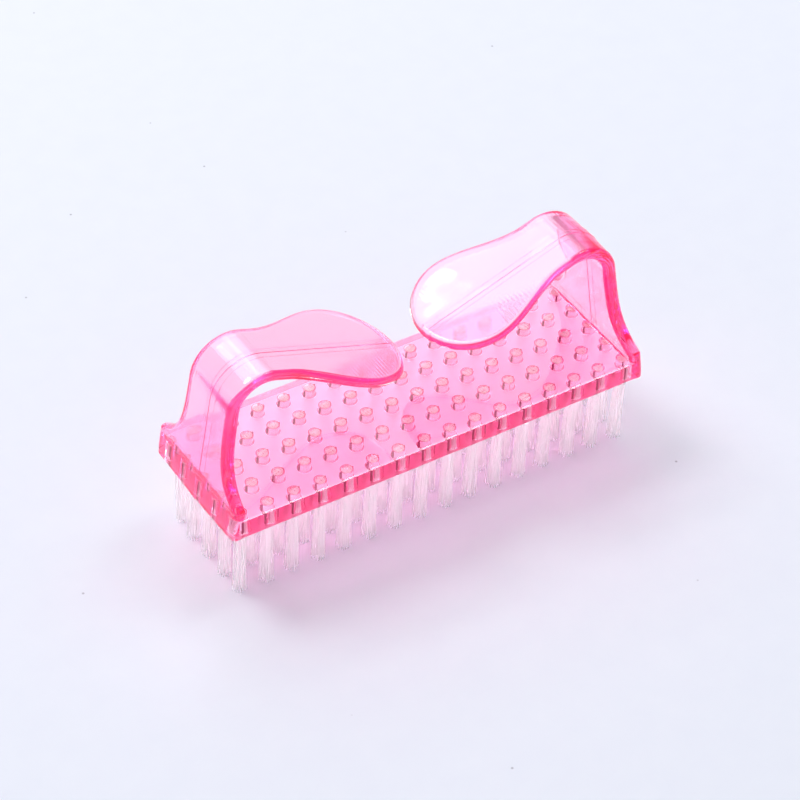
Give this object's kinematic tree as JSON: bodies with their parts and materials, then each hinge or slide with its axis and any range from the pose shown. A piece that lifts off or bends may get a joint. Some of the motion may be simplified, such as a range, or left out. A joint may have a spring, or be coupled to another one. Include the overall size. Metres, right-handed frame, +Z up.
{
  "type": "nail dust brush",
  "caption": "Clear moulded brush block with two curled finger handles that widen into paddles, and rows of white bristle tufts set in blind holes.",
  "frame": {"origin": "under the middle of the bristle field, on the surface that the bristle tips stand on", "axes": "+X along the brush from one handle to the other, +Y across it, +Z up from the bristle tips to the handles"},
  "size_m": [0.0908, 0.0284, 0.0461],
  "materials": {
    "body": "clear pink, polished",
    "bristles": "white nylon filament"
  },
  "bodies": {
    "root": {"body": "body", "tuft_column_01": "bristles", "tuft_column_02": "bristles", "tuft_column_03": "bristles", "tuft_column_04": "bristles", "tuft_column_05": "bristles", "tuft_column_06": "bristles", "tuft_column_07": "bristles", "tuft_column_08": "bristles", "tuft_column_09": "bristles", "tuft_column_10": "bristles", "tuft_column_11": "bristles", "tuft_column_12": "bristles", "tuft_column_13": "bristles", "tuft_column_14": "bristles", "tuft_column_15": "bristles", "tuft_column_16": "bristles"}
  },
  "joints": []
}
